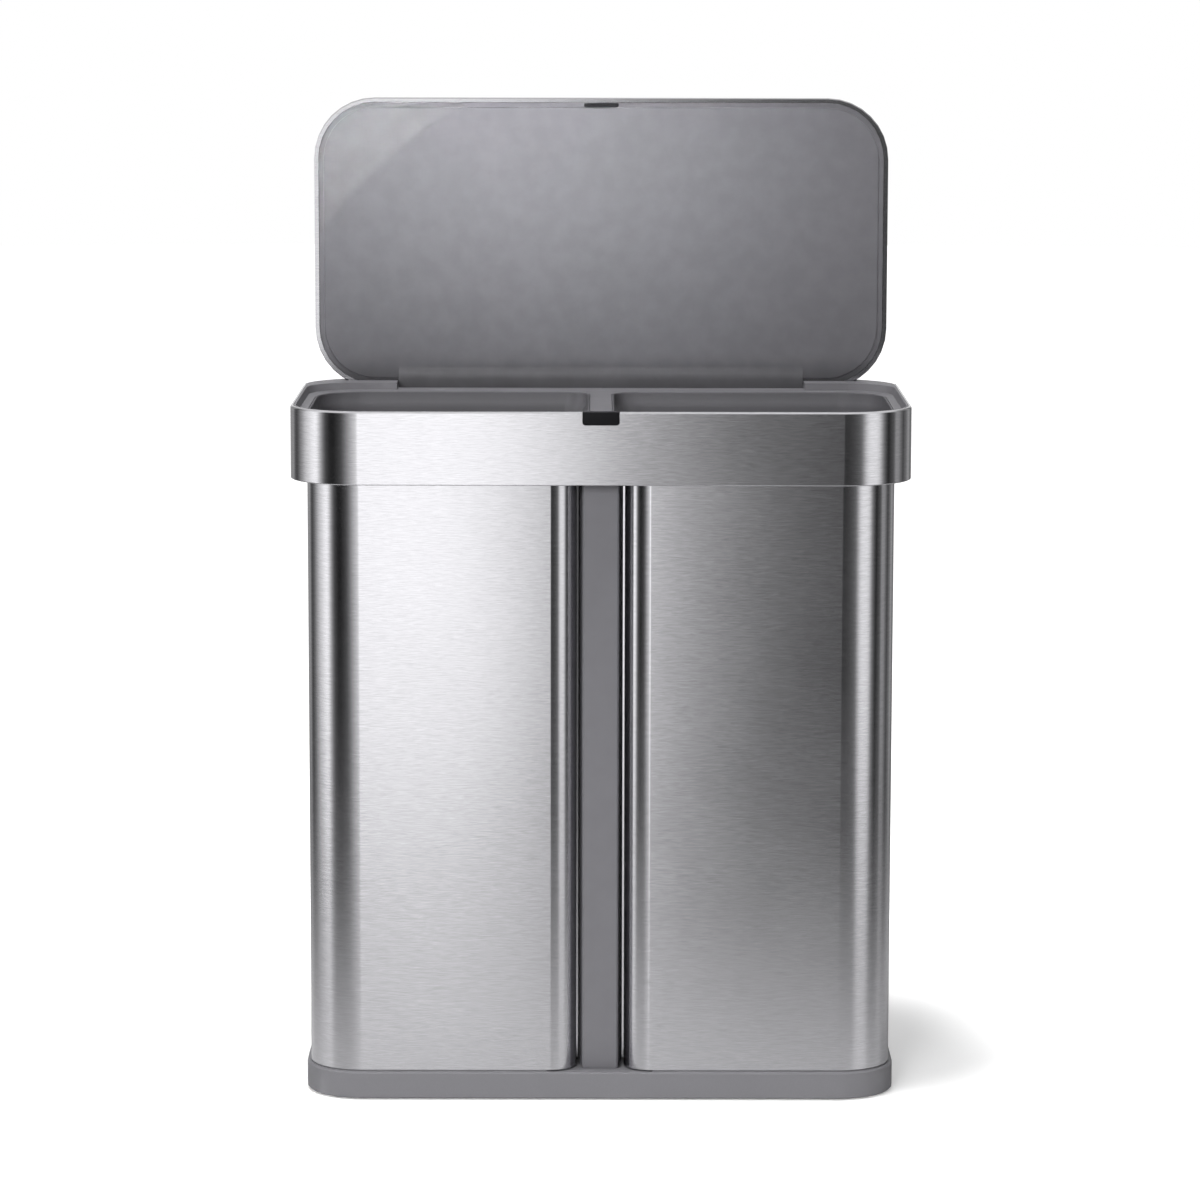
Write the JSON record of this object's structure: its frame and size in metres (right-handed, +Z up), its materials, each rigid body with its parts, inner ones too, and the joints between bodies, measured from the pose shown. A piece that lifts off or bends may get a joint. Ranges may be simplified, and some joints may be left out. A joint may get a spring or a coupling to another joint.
{
  "type": "double recycling bin",
  "caption": "Powered double recycling bin: two hanging buckets in a plastic frame, brushed steel shells and rim, and a wide lid on a hinge rod, shown open.",
  "frame": {"origin": "on the floor under the middle of the rim, at the bottom centre of the bounding box", "axes": "+X to the bin's right seen from the front, +Y to its back, +Z up"},
  "size_m": [0.594, 0.328, 0.9507],
  "materials": {
    "brushed_steel": "brushed, lengthwise grain",
    "grey_plastic": "fine moulded grain",
    "base_plastic": "fine moulded grain",
    "black_gloss": "polished",
    "black_rubber": "matte",
    "board": "satin",
    "white_nylon": "satin",
    "plain_steel": "plated",
    "cell_jacket": "satin",
    "lead_jacket": "matte"
  },
  "bodies": {
    "stand": {"base": "base_plastic", "battery_cell_1": "cell_jacket", "battery_cell_2": "cell_jacket", "battery_cell_3": "cell_jacket", "battery_cell_4": "cell_jacket", "battery_lead": "lead_jacket", "battery_tray": "base_plastic", "control_board": "board", "front_left_foot": "black_rubber", "front_pillar": "grey_plastic", "front_right_foot": "black_rubber", "gearbox": "plain_steel", "hinge_rod": "plain_steel", "inner_bracket_screw": "plain_steel", "left_bush": "white_nylon", "left_contact": "plain_steel", "left_shell": "brushed_steel", "motor": "plain_steel", "motor_bracket": "plain_steel", "motor_lead": "lead_jacket", "outer_bracket_screw": "plain_steel", "rear_left_foot": "black_rubber", "rear_pillar": "grey_plastic", "rear_right_foot": "black_rubber", "right_bush": "white_nylon", "right_contact": "plain_steel", "right_shell": "brushed_steel", "rim_band": "brushed_steel", "rim_frame": "grey_plastic", "sensor_board": "board", "sensor_ribbon": "lead_jacket", "sensor_window": "black_gloss", "shell_ring": "grey_plastic", "supply_inlet": "black_rubber", "supply_lead": "lead_jacket", "switch_body": "black_rubber", "switch_lead": "lead_jacket"},
    "lid": {"lid_skin": "brushed_steel", "lid_liner": "grey_plastic", "lid_sector_gear": "white_nylon", "lid_bumper": "black_rubber"},
    "pinion": {"drive_pinion": "white_nylon"},
    "left_bucket_body": {"left_bucket": "grey_plastic"},
    "right_bucket_body": {"right_bucket": "grey_plastic"},
    "door": {"battery_door": "base_plastic"},
    "knob": {"switch_knob": "white_nylon"}
  },
  "joints": [
    {"name": "lid_hinge", "type": "hinge", "parent": "stand", "child": "lid", "pos_m": [0, 0.1338, 0.6569], "axis": [1, 0, 0], "range_deg": [0, 90]},
    {"name": "pinion_spin", "type": "hinge", "parent": "stand", "child": "pinion", "pos_m": [0, 0.14105, 0.62985], "axis": [1, 0, 0], "range_deg": [-225, 0]},
    {"name": "left_bucket_lift", "type": "slide", "parent": "stand", "child": "left_bucket_body", "axis": [0, 0, 1], "range_m": [0, 0.66]},
    {"name": "right_bucket_lift", "type": "slide", "parent": "stand", "child": "right_bucket_body", "axis": [0, 0, 1], "range_m": [0, 0.66]},
    {"name": "battery_door_hinge", "type": "hinge", "parent": "stand", "child": "door", "pos_m": [0, 0.16145, 0.60685], "axis": [-1, 0, 0], "range_deg": [0, 90]},
    {"name": "switch_slide", "type": "slide", "parent": "stand", "child": "knob", "axis": [1, 0, 0], "range_m": [0, 0.006]}
  ],
  "couplings": [
    {"joint": "pinion_spin", "follows": "lid_hinge", "ratio": -2.5}
  ]
}
